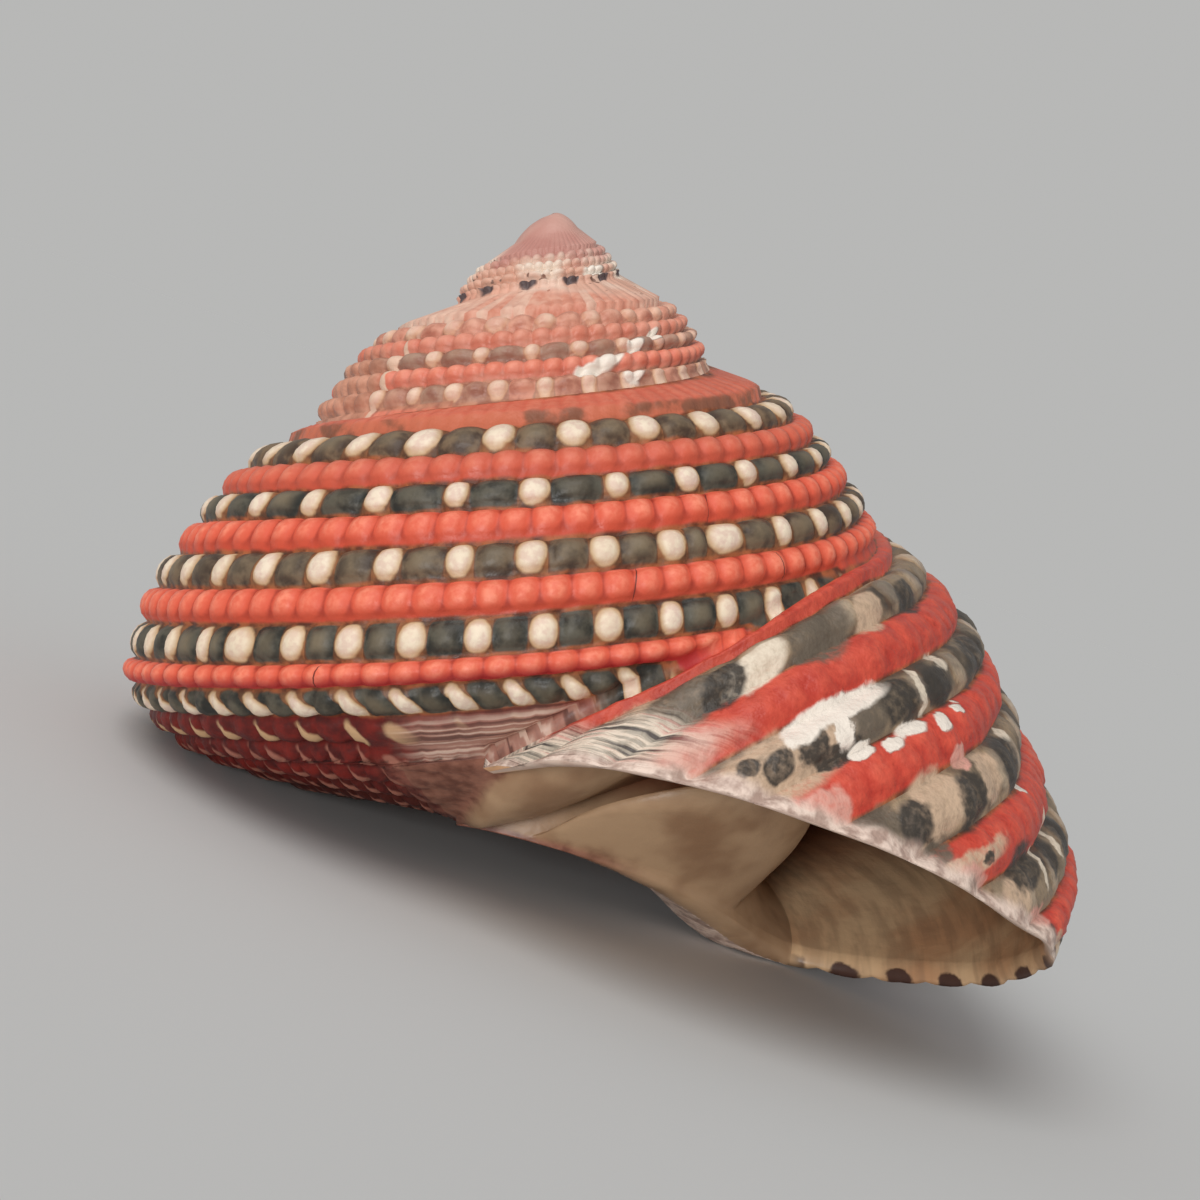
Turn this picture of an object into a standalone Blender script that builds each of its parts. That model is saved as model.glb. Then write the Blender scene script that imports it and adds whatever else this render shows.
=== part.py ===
"""Strawberry top shell, the empty shell of a small sea snail, lying on its base and the lower edge of its lip.

The shell is one tube that grows as it coils. Its outside is swept from one outline, the spiral cords that
the snail lays down, and each whorl is sewn to the one before along the suture. The mouth lies in one
plane. Behind it the same outline, moved in by the wall's thickness, makes the hollow.
Lengths are in millimetres here and angles in degrees. They become metres in the mesh.
"""
import math

import bmesh
import bpy
import numpy as np
from mathutils import Euler, Vector

MM = 0.001

# Outline of a whorl at the left side of the shell: (distance from the axis, drop below the pole) of each
# cord, from the suture, 0, over the widest cord, 8, and the base to the floor of the umbilicus, 18.
# The pole is the point on the axis that the spiral winds down to.
OUTLINE = (
    (5.55, 6.16), (6.78, 6.80), (7.43, 7.40), (7.99, 8.04), (8.43, 8.68), (8.98, 9.45), (9.38, 10.26),
    (9.61, 11.12), (9.80, 11.86), (9.56, 12.58), (9.08, 13.15), (8.46, 13.65), (7.71, 14.00),
    (6.79, 14.30), (5.77, 14.60), (4.72, 14.77), (3.75, 14.60), (3.01, 14.08), (2.50, 13.30),
)
OUTLINE_ANGLE = 180.0
LAST_CORD = len(OUTLINE) - 1
MARGIN_CORD = 15
SPIRE_CORD = 6.5

# Groove between each two cords: its depth, and the cords that it starts and ends at.
GROOVE = 0.22
GROOVE_FROM = 0.5
GROOVE_TO = 15.0
GROOVE_FADE = 2.0

# The base, past cord 9, is drawn down beside the mouth's callus, and flattens as the whorl grows.
BASE_CORD = 9
BASE_SINK = 1.29
BASE_SINK_FADE = 27.0
BASE_SINK_POWER = 1.3
BASE_RISE = 1.08
BASE_RISE_POWER = 3

# Growth: how the outline widens and lengthens with each turn, how the first whorl rounds off into the
# tip, and how the last quarter turn dips towards the mouth.
WIDEN = 0.581
WIDEN_SLOWS = 0.0705
WIDEN_SPIRE = 0.78
SLOWING_TURNS = 1.0
LENGTHEN = 0.4991
TIP_DROP = 1.22
TIP_ROUND = 0.50
DIP_ANGLE = 392.0
DIP_END = 450.0
DIP = 2.62

# Uneven growth near the mouth: cord, growth angle, reach in cords, reach in degrees, height of each lump.
LUMPS = ((5.3, 372.0, 1.2, 18.0, -0.36), (8.6, 393.0, 2.0, 14.0, 0.24))

# Mouth: a plane square to MOUTH_NORMAL (right, toward the viewer, down) at MOUTH_REACH from the pole.
# The callus, spread over the whorl before, starts at CALLUS_ANGLE, and from the lip's foot to there the
# margin of the umbilicus climbs fast at first and pulls away from the axis only at its end.
MOUTH_NORMAL = (-0.244, 0.484, 0.840)
MOUTH_REACH = 14.51
MOUTH_SEARCH = 300.0
HALVINGS = 40
CALLUS_ANGLE = 111.0
CLOSING_POWER = 1.60
MARGIN_POWER = 10
PIT_DROP = 11.6

# Hollow: how far behind the mouth each ring of it lies, and the wall's thickness there.
RINGS = (
    (2.0, 0.42), (8.0, 0.50), (18.0, 0.60), (31.0, 0.70), (47.0, 0.78), (66.0, 0.84),
    (88.0, 0.86), (113.0, 0.86), (140.0, 0.86), (168.0, 0.86),
)
CALLUS = 0.10
PARIETAL_CORD = 14.4
CORNER_EASE = 0.35

# The callus swells into a low pad: its height, how far behind the mouth it is full, and where it ends.
PAD = 0.45
PAD_FULL = 6.0
PAD_ENDS = (16.0, 44.0)

# Fold: the broad tooth of the columella, its reach into the hollow and its lift, its place along the inner
# lip, how soon it rises from the foot of the lip, and how it starts, fills and fades behind the mouth.
FOLD_REACH = 2.6
FOLD_LIFT = 2.2
FOLD_PLACE = 0.50
FOLD_WIDTH = 0.26
FOLD_STEEP = 0.35
FOLD_FULLNESS = 0.8
FOLD_TAIL = 0.84
FOLD_STARTS = 1.5
FOLD_FULL = 9.0
FOLD_ENDS = (13.0, 38.0)
FOLD_LEFT = 0.15

# Mesh: columns a turn, and the columns where the tip, the callus, the slant towards the lip and the lip
# start. Points nearer to the axis than TIP_RADIUS are one point.
COLUMNS = 48
STEP = 360.0 / COLUMNS
FIRST_COLUMN = -197
TIP_RADIUS = 0.06
CALLUS_COLUMN = 13
LIP_COLUMN = CALLUS_COLUMN + COLUMNS
OBLIQUE_COLUMN = 40
SETTLED_COLUMN = 18
CLOSING_COLUMNS = 15
SMOOTH_ANGLE = 50.0

# Stance: turns that lay the shell on its base and lower lip, and the pole's place with the floor at 0.
# The base dips below the floor by the depth of the flat spot that the shell rests on.
LEAN_SIDE = -19.3
LEAN_BACK = 1.6
TURN = 1.4
POLE = (-5.50, -1.02, 15.58)


def spline(cord, column):
    """Smooth curve through one column of the outline, at any place between its cords."""
    values = np.array([point[column] for point in OUTLINE])
    cord = np.asarray(cord, float)
    low = np.clip(np.floor(cord).astype(int), 0, LAST_CORD - 1)
    t = cord - low

    def slope(index):
        after = np.clip(index + 1, 0, LAST_CORD)
        before = np.clip(index - 1, 0, LAST_CORD)
        return (values[after] - values[before]) / (after - before)

    ease = t * t * (3.0 - 2.0 * t)
    start = t * (1.0 - t) ** 2
    end = t * t * (t - 1.0)
    return values[low] * (1.0 - ease) + values[low + 1] * ease + slope(low) * start + slope(low + 1) * end


def growth(angle):
    """How many times wider and longer the outline is at a growth angle."""
    turns = (np.asarray(angle, float) - OUTLINE_ANGLE) / 360.0
    late = turns + SLOWING_TURNS
    spire = np.minimum(late, 0.0) * WIDEN_SPIRE
    body = np.maximum(late, 0.0) * (WIDEN - WIDEN_SLOWS * np.maximum(late, 0.0))
    full = SLOWING_TURNS * (WIDEN - WIDEN_SLOWS * SLOWING_TURNS)
    return np.exp(spire + body - full), np.exp(LENGTHEN * turns)


def section(cord, angle):
    """Distance from the axis and drop of a smooth whorl, with no grooves."""
    wide, long = growth(angle)
    cord = np.asarray(cord, float)
    base = np.clip((cord - BASE_CORD) / (MARGIN_CORD - BASE_CORD), 0.0, 1.0)
    sink = BASE_SINK * base ** BASE_SINK_POWER * math.exp(-max(angle - CALLUS_ANGLE, 0.0) / BASE_SINK_FADE)
    rise = BASE_RISE * base ** BASE_RISE_POWER * max(angle - OUTLINE_ANGLE, 0.0) / 360.0
    dip = DIP * (max(angle - DIP_ANGLE, 0.0) / (DIP_END - DIP_ANGLE)) ** 2
    radius = spline(cord, 0) * wide
    for lump_cord, lump_angle, cords, degrees, height in LUMPS:
        radius = radius + height * np.exp(
            -((cord - lump_cord) / cords) ** 2 - ((angle - lump_angle) / degrees) ** 2)
    drop = (spline(cord, 1) + sink - rise) * long + dip
    above = np.maximum(drop - TIP_DROP, 0.0)
    radius = radius * np.sqrt(1.0 - np.exp(-above / TIP_ROUND))
    return radius, np.maximum(drop, TIP_DROP)


def offset(cord, angle, distance):
    """A point of the section moved square to the outline, outward where distance is positive."""
    nudge = 0.01
    cord = np.asarray(cord, float)
    before = section(np.clip(cord - nudge, 0.0, LAST_CORD), angle)
    after = section(np.clip(cord + nudge, 0.0, LAST_CORD), angle)
    along_r = after[0] - before[0]
    along_h = after[1] - before[1]
    length = np.hypot(along_r, along_h) + 1e-9
    radius, drop = section(cord, angle)
    return radius + distance * along_h / length, drop - distance * along_r / length


def grooved(cord, angle):
    """The outside of the shell in section, with a groove between each two cords."""
    cord = np.asarray(cord, float)
    wide, _ = growth(angle)
    fade = np.clip((cord - GROOVE_FROM) * GROOVE_FADE, 0.0, 1.0)
    fade = fade * np.clip((GROOVE_TO - cord) / GROOVE_FADE, 0.0, 1.0)
    depth = GROOVE * np.minimum(wide, 1.0) * fade * (0.5 - 0.5 * np.cos(2.0 * math.pi * cord))
    return offset(cord, angle, -depth)


def smooth(value, low, high):
    """Soft step from 0 at low to 1 at high."""
    t = min(max((value - low) / (high - low), 0.0), 1.0)
    return t * t * (3.0 - 2.0 * t)


def fold_shape(share):
    """How far the fold stands out at a place along the inner lip, from the lip's foot, 0, to the callus, 1."""
    if share < FOLD_PLACE:
        return max(1.0 - ((FOLD_PLACE - share) / FOLD_WIDTH) ** 2, 0.0) ** FOLD_STEEP
    along = min((share - FOLD_PLACE) / (FOLD_TAIL - FOLD_PLACE), 1.0)
    return max(math.cos(0.5 * math.pi * along), 0.0) ** FOLD_FULLNESS


def place(radius, drop, angle):
    """Point in the shell's own frame: the axis is Z, and the viewer looks along +Y."""
    turn = math.radians(angle)
    return (float(radius) * math.cos(turn), -float(radius) * math.sin(turn), -float(drop))


def suture(angle, wall=0.0, callus=0.0):
    """Where a whorl, or the hollow inside it, meets the whorl a turn before: that one's cord and its own."""
    upper = np.linspace(0.0, 8.0, 161)
    shelf_r, shelf_h = offset(upper, angle, -wall)
    below = np.linspace(4.0, 14.0, 501)
    wall_r, wall_h = offset(below, angle - 360.0, callus) if wall else grooved(below, angle - 360.0)
    inward = (shelf_h[4] - shelf_h[0]) / max(shelf_r[4] - shelf_r[0], 0.01)
    shelf = np.interp(wall_r, shelf_r, shelf_h) + np.minimum(wall_r - shelf_r[0], 0.0) * inward
    covered = int(np.argmax(wall_h > shelf))
    return float(below[covered]), float(np.interp(wall_r[covered], shelf_r, upper))


def mouth_angle(cord):
    """Growth angle at which a cord runs out at the plane of the mouth."""
    low, high = MOUTH_SEARCH, STEP * LIP_COLUMN
    normal = Vector(MOUTH_NORMAL).normalized()
    for _ in range(HALVINGS):
        middle = 0.5 * (low + high)
        radius, drop = section(cord, middle)
        x, y, z = place(radius, drop, middle)
        if normal.dot(Vector((x, -y, -z))) < MOUTH_REACH:
            low = middle
        else:
            high = middle
    return low


class ShellSkin:
    """Points and faces of the shell, numbered as they are made."""

    def __init__(self):
        self.points = []
        self.faces = []
        self.named = {}
        self.rows = [0.0] + [0.5 * k for k in range(2, 2 * MARGIN_CORD + 1)]
        self.rows += list(range(MARGIN_CORD + 1, LAST_CORD + 1))
        self.margin_row = self.rows.index(MARGIN_CORD)
        self.spire_row = self.rows.index(SPIRE_CORD)
        self.mouth = [mouth_angle(min(cord, MARGIN_CORD)) for cord in self.rows]
        self.covered = {}
        self.starts = {}
        for column in range(FIRST_COLUMN + COLUMNS, LIP_COLUMN + 1):
            self.covered[column - COLUMNS], self.starts[column] = suture(column * STEP)
        last_covered = self.covered[CALLUS_COLUMN]
        self.insert_row = min(range(len(self.rows)), key=lambda k: abs(self.rows[k] - last_covered))

    def point(self, name, make):
        """Number of a point, made the first time that its name is asked for."""
        if name not in self.named:
            self.named[name] = len(self.points)
            self.points.append(make())
        return self.named[name]

    def face(self, *corners):
        """A face, without the corners that have closed up."""
        kept = [c for i, c in enumerate(corners) if c != corners[i - 1]]
        if len(set(kept)) > 2:
            self.faces.append(kept)

    def angle_of(self, column, row):
        """Growth angle of a grid point: square to the axis, but along the lip near the mouth."""
        angle = column * STEP
        if column > OBLIQUE_COLUMN:
            share = (column - OBLIQUE_COLUMN) / (LIP_COLUMN - OBLIQUE_COLUMN)
            start = OBLIQUE_COLUMN * STEP
            return start + (self.mouth[row] - start) * share
        if CALLUS_COLUMN <= column < SETTLED_COLUMN and row > self.insert_row:
            start = CALLUS_COLUMN * STEP
            share = (SETTLED_COLUMN - column) / (SETTLED_COLUMN - CALLUS_COLUMN)
            return angle + (CALLUS_ANGLE - start) * share
        return angle

    def outside(self, column, row):
        """Number of a point on the outside of the shell."""
        if column < CALLUS_COLUMN and self.rows[row] >= self.covered[column] - 0.02:
            return self.outside(column + COLUMNS, 0)
        if column == CALLUS_COLUMN and row == self.insert_row:
            return self.outside(LIP_COLUMN, 0)
        if row == 0 and column - COLUMNS in self.covered:
            cord, angle = self.covered[column - COLUMNS], (column - COLUMNS) * STEP
        else:
            cord, angle = self.rows[row], self.angle_of(column, row)
        radius, drop = grooved(cord, angle)
        if radius < TIP_RADIUS:
            return self.point("tip", lambda: (0.0, 0.0, -TIP_DROP))
        return self.point((column, row), lambda: place(radius, drop, angle))

    def closing(self, column, row):
        """Number of a point past the mouth, where the margin of the umbilicus climbs to the callus."""
        if column == 0:
            return self.outside(LIP_COLUMN, row)
        if column == CLOSING_COLUMNS:
            return self.outside(CALLUS_COLUMN, row)

        def make():
            share = column / CLOSING_COLUMNS
            first, last = self.mouth[row], self.angle_of(CALLUS_COLUMN, row) + 360.0
            start = grooved(self.rows[row], first)
            end = grooved(self.rows[row], last - 360.0)
            rise = 1.0 - (1.0 - share) ** CLOSING_POWER
            pull = 1.0 - (1.0 - share) ** MARGIN_POWER
            return place(
                start[0] + (end[0] - start[0]) * pull, start[1] + (end[1] - start[1]) * rise,
                first + (last - first) * share)

        return self.point(("closing", column, row), make)

    def build_outside(self):
        """The coiled outside, the tip and the umbilicus."""
        last_row = len(self.rows) - 1
        for column in range(FIRST_COLUMN, LIP_COLUMN):
            rows = self.spire_row if column < -COLUMNS else last_row
            for row in range(rows):
                if column < CALLUS_COLUMN and row >= self.insert_row:
                    break
                self.face(
                    self.outside(column, row), self.outside(column + 1, row),
                    self.outside(column + 1, row + 1), self.outside(column, row + 1))
        pit = self.point("pit", lambda: (0.0, 0.0, -PIT_DROP))
        for column in range(CLOSING_COLUMNS):
            for row in range(self.margin_row, last_row):
                self.face(
                    self.closing(column, row), self.closing(column + 1, row),
                    self.closing(column + 1, row + 1), self.closing(column, row + 1))
            self.face(self.closing(column, last_row), self.closing(column + 1, last_row), pit)
        for column in range(CALLUS_COLUMN, LIP_COLUMN):
            self.face(self.outside(column, last_row), self.outside(column + 1, last_row), pit)

    def mouth_ring(self):
        """Numbers of the points round the mouth: outer lip, margin of the umbilicus, edge of the callus."""
        ring = [self.outside(LIP_COLUMN, row) for row in range(self.margin_row + 1)]
        ring += [self.closing(column, self.margin_row) for column in range(1, CLOSING_COLUMNS)]
        ring += [self.outside(CALLUS_COLUMN, row) for row in range(self.margin_row, self.insert_row, -1)]
        return ring

    def inner_ring(self, number):
        """Numbers of the points of one ring of the hollow, in the same order as the mouth's."""
        back, wall = RINGS[number]
        top = LIP_COLUMN * STEP - back
        corner_cord, first_cord = suture(top, wall, CALLUS)
        corner_cord += CORNER_EASE
        corner = self.point(
            ("hollow", number, 0), lambda: place(*offset(corner_cord, top - 360.0, CALLUS), top))
        ring = [corner]
        for row in range(1, self.margin_row + 1):
            angle = self.mouth[row] - back
            if self.rows[row] < first_cord + 2.0 * CORNER_EASE:
                ring.append(corner)
                continue
            ring.append(self.point(
                ("hollow", number, row), lambda: place(*offset(self.rows[row], angle, -wall), angle)))
        foot_angle = self.mouth[self.margin_row] - back
        foot = offset(MARGIN_CORD, foot_angle, -wall)
        head_angle = CALLUS_ANGLE + 360.0 - back
        head = offset(PARIETAL_CORD, head_angle - 360.0, CALLUS)
        wide, _ = growth(foot_angle)
        widest, _ = growth(STEP * LIP_COLUMN)
        swell = smooth(back, FOLD_STARTS, FOLD_FULL) * (1.0 - (1.0 - FOLD_LEFT) * smooth(back, *FOLD_ENDS))
        for column in range(1, CLOSING_COLUMNS):
            share = column / CLOSING_COLUMNS
            rise = 1.0 - (1.0 - share) ** CLOSING_POWER
            pull = 1.0 - (1.0 - share) ** MARGIN_POWER
            fold = fold_shape(share) * swell * wide / widest
            radius = foot[0] + (head[0] - foot[0]) * pull + FOLD_REACH * fold
            drop = foot[1] + (head[1] - foot[1]) * rise - FOLD_LIFT * fold
            angle = foot_angle + (head_angle - foot_angle) * share
            ring.append(self.point(
                ("hollow", number, "fold", column), lambda: place(radius, drop, angle)))
        parietal = self.margin_row - self.insert_row
        pad = PAD * smooth(back, 0.0, PAD_FULL) * (1.0 - smooth(back, *PAD_ENDS))
        for step in range(parietal):
            share = step / parietal
            cord = PARIETAL_CORD + (corner_cord - PARIETAL_CORD) * share
            angle = head_angle + (top - head_angle) * share
            height = CALLUS + pad * math.sin(math.pi * share ** 0.75)
            ring.append(self.point(
                ("hollow", number, "callus", step),
                lambda: place(*offset(cord, angle - 360.0, height), angle)))
        return ring

    def build_hollow(self):
        """The lip's rim, the hollow behind the mouth and the wall that ends it, deep inside."""
        ring = self.mouth_ring()
        for number in range(len(RINGS)):
            inner = self.inner_ring(number)
            for index in range(len(ring)):
                self.face(ring[index - 1], inner[index - 1], inner[index], ring[index])
            ring = inner
        middle = np.mean([self.points[number] for number in ring], axis=0)
        end = self.point("hollow end", lambda: tuple(middle))
        for index in range(len(ring)):
            self.face(ring[index - 1], end, ring[index])


def stand(point):
    """A point of the shell's own frame, in millimetres, moved into the part's frame in metres."""
    turn = Euler((math.radians(LEAN_BACK), math.radians(LEAN_SIDE), math.radians(TURN)), "XYZ")
    moved = turn.to_matrix() @ Vector(point) + Vector(POLE)
    return moved * MM


def shell_material():
    """Coral red with a dull gloss: the main colour of the cords."""
    material = bpy.data.materials.new("coral red shell")
    material.use_nodes = True
    principled = material.node_tree.nodes["Principled BSDF"]
    principled.inputs["Base Color"].default_value = (0.55, 0.13, 0.09, 1.0)
    principled.inputs["Roughness"].default_value = 0.45
    principled.inputs["Metallic"].default_value = 0.0
    return material


def build_shell():
    """The whole shell as one closed body, worn flat where it rests on the floor."""
    skin = ShellSkin()
    skin.build_outside()
    skin.build_hollow()
    mesh = bpy.data.meshes.new("shell")
    body = bmesh.new()
    corners = [body.verts.new(stand(point)) for point in skin.points]
    for corner in corners:
        corner.co.z = max(corner.co.z, 0.0)
    for numbers in skin.faces:
        body.faces.new([corners[number] for number in numbers])
    bmesh.ops.triangulate(body, faces=body.faces[:])
    bmesh.ops.recalc_face_normals(body, faces=body.faces[:])
    body.to_mesh(mesh)
    body.free()
    mesh.shade_smooth()
    mesh.set_sharp_from_angle(angle=math.radians(SMOOTH_ANGLE))
    mesh.materials.append(shell_material())
    shell = bpy.data.objects.new("shell", mesh)
    collection = bpy.data.collections.new("strawberry top shell")
    bpy.context.scene.collection.children.link(collection)
    collection.objects.link(shell)


for leftover in list(bpy.data.objects):
    bpy.data.objects.remove(leftover)
build_shell()
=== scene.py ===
"""A strawberry top shell, finished: its beaded cords, worn tip, chalky lip and smooth throat."""
import functools
import math

import bmesh
import bpy
import numpy as np
from mathutils import Euler, Matrix, Vector


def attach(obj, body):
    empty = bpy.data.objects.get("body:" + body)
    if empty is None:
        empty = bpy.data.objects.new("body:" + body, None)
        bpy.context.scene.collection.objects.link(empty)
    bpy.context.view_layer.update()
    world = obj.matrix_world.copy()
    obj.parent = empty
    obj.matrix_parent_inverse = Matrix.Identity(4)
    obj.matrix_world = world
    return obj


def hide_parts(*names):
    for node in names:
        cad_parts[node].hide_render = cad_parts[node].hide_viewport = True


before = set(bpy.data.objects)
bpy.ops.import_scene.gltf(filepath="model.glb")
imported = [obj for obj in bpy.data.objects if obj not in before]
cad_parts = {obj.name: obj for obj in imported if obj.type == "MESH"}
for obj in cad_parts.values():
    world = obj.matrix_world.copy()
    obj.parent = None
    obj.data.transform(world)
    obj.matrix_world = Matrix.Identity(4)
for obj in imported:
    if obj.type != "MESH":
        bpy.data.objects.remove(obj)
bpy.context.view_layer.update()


# The coiled wall is the whole outside of the shell: one tube that widens as it winds down to the mouth.
# The snail lays it down as one outline of spiral cords, 0 at the suture, 8 at the widest part and 15 at
# the edge of the false umbilicus, and each whorl is grown on to the one before along the suture.
MM = 0.001
OUTLINE = (
    (5.55, 6.16), (6.78, 6.80), (7.43, 7.40), (7.99, 8.04), (8.43, 8.68), (8.98, 9.45), (9.38, 10.26),
    (9.61, 11.12), (9.80, 11.86), (9.56, 12.58), (9.08, 13.15), (8.46, 13.65), (7.71, 14.00),
    (6.79, 14.30), (5.77, 14.60), (4.72, 14.77), (3.75, 14.60), (3.01, 14.08), (2.50, 13.30),
)
OUTLINE_ANGLE = 180.0
LAST_CORD = len(OUTLINE) - 1
MARGIN_CORD = 15
BASE_CORD = 9
BASE_SINK = 1.29
BASE_SINK_FADE = 27.0
BASE_SINK_POWER = 1.3
BASE_RISE = 1.08
BASE_RISE_POWER = 3
WIDEN = 0.581
WIDEN_SLOWS = 0.0705
WIDEN_SPIRE = 0.78
SLOWING_TURNS = 1.0
LENGTHEN = 0.4991
TIP_DROP = 1.22
TIP_ROUND = 0.50
TIP_RADIUS = 0.06
DIP_ANGLE = 392.0
DIP_END = 450.0
DIP = 2.62
LUMPS = ((5.3, 372.0, 1.2, 18.0, -0.36), (8.6, 393.0, 2.0, 14.0, 0.24))
CALLUS_ANGLE = 111.0
PIT_DROP = 11.6
SEWN_SLACK = 0.02
UPPER_CORDS = np.linspace(0.0, 8.0, 161)
LOWER_CORDS = np.linspace(4.0, 14.0, 501)
SLOPE_SAMPLES = 4
STANCE = Euler((math.radians(1.6), math.radians(-19.3), math.radians(1.4)), "XYZ").to_matrix()
POLE = Vector((-5.50, -1.02, 15.58))

ROWS_A_CORD = 6
BASE_ROWS_A_CORD = 3
ROWS = np.concatenate([
    np.arange(MARGIN_CORD * ROWS_A_CORD) / ROWS_A_CORD,
    MARGIN_CORD + np.arange((LAST_CORD - MARGIN_CORD) * BASE_ROWS_A_CORD + 1) / BASE_ROWS_A_CORD])
MARGIN_ROW = MARGIN_CORD * ROWS_A_CORD
LAST_ROW = len(ROWS) - 1
TURN = 480
STEP = 360.0 / TURN
TIP_COLUMN = -1968
CALLUS_COLUMN = 130
LIP_COLUMN = CALLUS_COLUMN + TURN
OBLIQUE_COLUMN = 400
SETTLED_COLUMN = 180
BANDS = ((TIP_COLUMN, -960, 4, 2), (-960, LIP_COLUMN, 1, 1))


def spline(cord, part):
    """Smooth curve through one column of the outline, at any place between its cords."""
    values = np.array([point[part] for point in OUTLINE])
    low = np.clip(np.floor(cord).astype(int), 0, LAST_CORD - 1)
    t = cord - low

    def slope(index):
        after = np.clip(index + 1, 0, LAST_CORD)
        before = np.clip(index - 1, 0, LAST_CORD)
        return (values[after] - values[before]) / (after - before)

    ease = t * t * (3.0 - 2.0 * t)
    start = t * (1.0 - t) ** 2
    end = t * t * (t - 1.0)
    return values[low] * (1.0 - ease) + values[low + 1] * ease + slope(low) * start + slope(low + 1) * end


def growth(angle):
    """How many times wider and longer the outline is at a growth angle."""
    turns = (angle - OUTLINE_ANGLE) / 360.0
    late = turns + SLOWING_TURNS
    spire = np.minimum(late, 0.0) * WIDEN_SPIRE
    body = np.maximum(late, 0.0) * (WIDEN - WIDEN_SLOWS * np.maximum(late, 0.0))
    full = SLOWING_TURNS * (WIDEN - WIDEN_SLOWS * SLOWING_TURNS)
    return np.exp(spire + body - full), np.exp(LENGTHEN * turns)


def section(cord, angle):
    """Distance from the axis and drop below the pole of the smooth outside."""
    wide, long = growth(angle)
    base = np.clip((cord - BASE_CORD) / (MARGIN_CORD - BASE_CORD), 0.0, 1.0)
    past = np.maximum(angle - CALLUS_ANGLE, 0.0)
    sink = BASE_SINK * base ** BASE_SINK_POWER * np.exp(-past / BASE_SINK_FADE)
    rise = BASE_RISE * base ** BASE_RISE_POWER * np.maximum(angle - OUTLINE_ANGLE, 0.0) / 360.0
    dip = DIP * (np.maximum(angle - DIP_ANGLE, 0.0) / (DIP_END - DIP_ANGLE)) ** 2
    radius = spline(cord, 0) * wide
    for lump_cord, lump_angle, cords, degrees, height in LUMPS:
        radius = radius + height * np.exp(
            -((cord - lump_cord) / cords) ** 2 - ((angle - lump_angle) / degrees) ** 2)
    drop = (spline(cord, 1) + sink - rise) * long + dip
    above = np.maximum(drop - TIP_DROP, 0.0)
    radius = radius * np.sqrt(1.0 - np.exp(-above / TIP_ROUND))
    return radius, np.maximum(drop, TIP_DROP)


def wall(cord, angle, distance=0.0):
    """Points moved square to the outline, outward where distance is positive, and the outward direction."""
    nudge = 0.01
    cord = np.asarray(cord, float)
    angle = np.asarray(angle, float)
    before = section(np.clip(cord - nudge, 0.0, LAST_CORD), angle)
    after = section(np.clip(cord + nudge, 0.0, LAST_CORD), angle)
    along_r = after[0] - before[0]
    along_h = after[1] - before[1]
    length = np.hypot(along_r, along_h) + 1e-9
    out_r = along_h / length
    out_h = -along_r / length
    radius, drop = section(cord, angle)
    return radius + distance * out_r, drop + distance * out_h, out_r, out_h


def place(radius, drop, angle):
    """Points in the shell's own frame, with the coiling axis upright and the viewer looking along +Y."""
    turn = np.radians(angle)
    return np.stack(np.broadcast_arrays(radius * np.cos(turn), -radius * np.sin(turn), -drop), axis=-1)


@functools.lru_cache(None)
def suture(angle, thickness=0.0, callus=0.0):
    """Where a whorl, or the hollow inside it, meets the whorl a turn before: that one's cord and its own."""
    shelf_r, shelf_h, _, _ = wall(UPPER_CORDS, angle, -thickness)
    wall_r, wall_h, _, _ = wall(LOWER_CORDS, angle - 360.0, callus)
    inward = (shelf_h[SLOPE_SAMPLES] - shelf_h[0]) / max(shelf_r[SLOPE_SAMPLES] - shelf_r[0], 0.01)
    shelf = np.interp(wall_r, shelf_r, shelf_h) + np.minimum(wall_r - shelf_r[0], 0.0) * inward
    meets = int(np.argmax(wall_h > shelf))
    return float(LOWER_CORDS[meets]), float(np.interp(wall_r[meets], shelf_r, UPPER_CORDS))


# The mouth is where the snail last added to the wall, cut off by one slanting plane. Its edge is the thin
# outer lip, then the edge of the umbilicus, and the last columns of the wall lean over to run along it.
MOUTH_NORMAL = Vector((-0.244, 0.484, 0.840)).normalized()
MOUTH_REACH = 14.51
MOUTH_SEARCH = 300.0
HALVINGS = 40


def mouth_angles():
    """Growth angle at which each row of the outside runs out at the plane of the mouth."""
    cords = np.minimum(ROWS, MARGIN_CORD)
    low = np.full(len(cords), MOUTH_SEARCH)
    high = np.full(len(cords), STEP * LIP_COLUMN)
    for _ in range(HALVINGS):
        middle = 0.5 * (low + high)
        reach = place(*section(cords, middle), middle) @ (MOUTH_NORMAL[0], -MOUTH_NORMAL[1], -MOUTH_NORMAL[2])
        inside = reach < MOUTH_REACH
        low = np.where(inside, middle, low)
        high = np.where(inside, high, middle)
    return low


MOUTH = mouth_angles()


def covered(column):
    """Cord at which a column of the outside goes under the next whorl."""
    return suture((column + TURN) * STEP)[0]


INSERT_ROW = int(np.argmin(np.abs(ROWS - covered(CALLUS_COLUMN))))


def column_cords(column):
    """Cords of a column's rows, with the first ones drawn up to where the whorl starts at its suture."""
    start = suture(column * STEP)[1]
    first = start + (1.0 - start) * ROWS[:ROWS_A_CORD]
    return np.concatenate([first, ROWS[ROWS_A_CORD:]])


def column_angles(column):
    """Growth angles of a column's rows: square to the axis, but along the lip near the mouth."""
    angles = np.full(len(ROWS), column * STEP)
    if column > OBLIQUE_COLUMN:
        share = (column - OBLIQUE_COLUMN) / (LIP_COLUMN - OBLIQUE_COLUMN)
        start = OBLIQUE_COLUMN * STEP
        angles = start + (MOUTH - start) * share
    if CALLUS_COLUMN <= column < SETTLED_COLUMN:
        share = (SETTLED_COLUMN - column) / (SETTLED_COLUMN - CALLUS_COLUMN)
        angles[INSERT_ROW + 1:] += (CALLUS_ANGLE - CALLUS_COLUMN * STEP) * share
    return angles


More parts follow.
